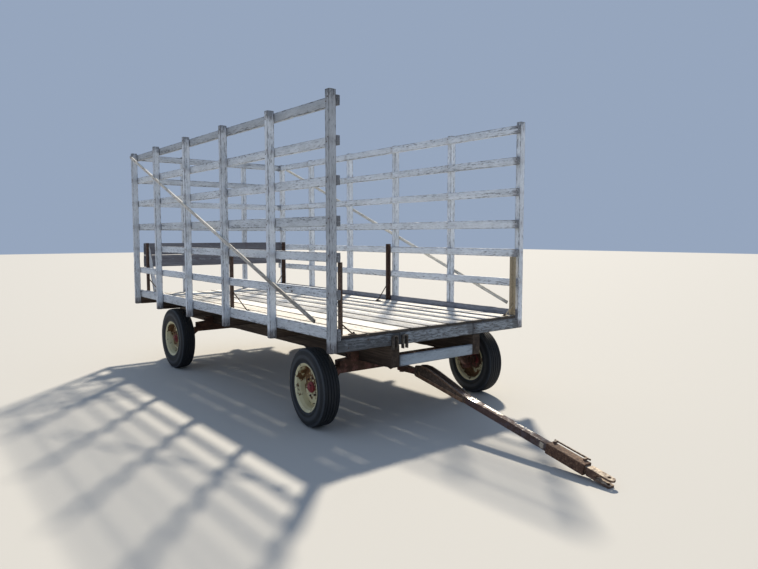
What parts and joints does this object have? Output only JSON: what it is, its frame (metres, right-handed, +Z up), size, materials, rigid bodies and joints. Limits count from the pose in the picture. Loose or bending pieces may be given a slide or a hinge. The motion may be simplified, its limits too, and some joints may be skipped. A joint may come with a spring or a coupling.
{
  "type": "hay wagon",
  "caption": "Farm hay wagon: plank deck and tall slatted bale rack on a steerable running gear with a telescoping drawbar.",
  "frame": {"origin": "on the ground under the middle of the overall box", "axes": "+X forward along the bed towards the tongue, +Y to the wagon's left, +Z up"},
  "size_m": [6.9048, 2.476, 2.878],
  "materials": {
    "rack_paint": "weathered white paint on sawn lumber",
    "deck_wood": "bleached bare planks",
    "sill_wood": "dark weathered beams",
    "grey_wood": "bare grey planks",
    "brace_wood": "bare brown strip",
    "gear_paint": "faded red paint with rust",
    "rusty_steel": "rusted steel",
    "rim_paint": "cream paint with rust",
    "hub_paint": "red paint",
    "tyre_rubber": "worn black rubber"
  },
  "bodies": {
    "wagon": {"cross_sills": "sill_wood", "deck_boards": "deck_wood", "front_axle": "gear_paint", "front_bolster": "gear_paint", "front_header": "sill_wood", "header_irons": "rusty_steel", "long_sills": "sill_wood", "rack_irons": "rusty_steel", "reach_braces": "gear_paint", "reach_pole": "gear_paint", "rear_axle": "gear_paint", "rear_bolster": "gear_paint", "rear_knee_brace": "rack_paint", "rear_planks": "grey_wood", "rear_posts": "rack_paint", "rear_rails": "rack_paint", "rim_boards": "rack_paint", "side_braces": "brace_wood", "side_posts_left": "rack_paint", "side_posts_right": "rack_paint", "side_rails_left": "rack_paint", "side_rails_right": "rack_paint", "spreader_board": "rack_paint"},
    "steering_yoke": {"steering_yoke": "gear_paint"},
    "tongue": {"tongue_hounds": "rusty_steel", "tongue_tube": "rusty_steel", "tongue_sleeve": "rusty_steel", "tongue_latch": "rusty_steel"},
    "tongue_head": {"tongue_head": "rusty_steel"},
    "knuckle_right": {"knuckle_right": "gear_paint"},
    "knuckle_left": {"knuckle_left": "gear_paint"},
    "tie_rod_right": {"tie_rod_right": "gear_paint"},
    "tie_rod_left": {"tie_rod_left": "gear_paint"},
    "wheel_front_right": {"hub_front_right": "hub_paint", "rim_front_right": "rim_paint", "tyre_front_right": "tyre_rubber"},
    "wheel_front_left": {"hub_front_left": "hub_paint", "rim_front_left": "rim_paint", "tyre_front_left": "tyre_rubber"},
    "wheel_rear_right": {"hub_rear_right": "hub_paint", "rim_rear_right": "rim_paint", "tyre_rear_right": "tyre_rubber"},
    "wheel_rear_left": {"hub_rear_left": "hub_paint", "rim_rear_left": "rim_paint", "tyre_rear_left": "tyre_rubber"}
  },
  "joints": [
    {"name": "yoke_steer", "type": "hinge", "parent": "wagon", "child": "steering_yoke", "pos_m": [0.96757, 0, 0.4], "axis": [0, 0, 1], "range_deg": [-24.6, 35.4]},
    {"name": "knuckle_right_turn", "type": "hinge", "parent": "wagon", "child": "knuckle_right", "pos_m": [0.96757, -0.914, 0.355], "axis": [0, 0, 1], "range_deg": [-24.6, 35.4]},
    {"name": "knuckle_left_turn", "type": "hinge", "parent": "wagon", "child": "knuckle_left", "pos_m": [0.96757, 0.914, 0.355], "axis": [0, 0, 1], "range_deg": [-24.6, 35.4]},
    {"name": "tie_rod_right_turn", "type": "hinge", "parent": "steering_yoke", "child": "tie_rod_right", "pos_m": [0.76846, 0.01882, 0.392], "axis": [0, 0, 1], "range_deg": [-35.4, 24.6]},
    {"name": "tie_rod_left_turn", "type": "hinge", "parent": "steering_yoke", "child": "tie_rod_left", "pos_m": [0.76846, 0.01882, 0.364], "axis": [0, 0, 1], "range_deg": [-35.4, 24.6]},
    {"name": "tongue_lift", "type": "hinge", "parent": "steering_yoke", "child": "tongue", "pos_m": [1.29611, -0.03106, 0.4], "axis": [-0.0941, -0.9956, 0], "range_deg": [0, 21]},
    {"name": "hitch_slide", "type": "slide", "parent": "tongue", "child": "tongue_head", "axis": [0.9812, -0.0928, -0.1693], "range_m": [0, 0.15]},
    {"name": "wheel_front_right_spin", "type": "hinge", "parent": "knuckle_right", "child": "wheel_front_right", "pos_m": [0.95581, -1.03845, 0.355], "axis": [0.0941, 0.9956, 0], "continuous": true},
    {"name": "wheel_front_left_spin", "type": "hinge", "parent": "knuckle_left", "child": "wheel_front_left", "pos_m": [0.97933, 1.03845, 0.355], "axis": [0.0941, 0.9956, 0], "continuous": true},
    {"name": "wheel_rear_right_spin", "type": "hinge", "parent": "wagon", "child": "wheel_rear_right", "pos_m": [-2.30243, -1.039, 0.385], "axis": [0, 1, 0], "continuous": true},
    {"name": "wheel_rear_left_spin", "type": "hinge", "parent": "wagon", "child": "wheel_rear_left", "pos_m": [-2.30243, 1.039, 0.385], "axis": [0, 1, 0], "continuous": true}
  ],
  "couplings": [
    {"joint": "knuckle_right_turn", "follows": "yoke_steer", "ratio": 1},
    {"joint": "knuckle_left_turn", "follows": "yoke_steer", "ratio": 1},
    {"joint": "tie_rod_right_turn", "follows": "yoke_steer", "ratio": -1},
    {"joint": "tie_rod_left_turn", "follows": "yoke_steer", "ratio": -1}
  ]
}
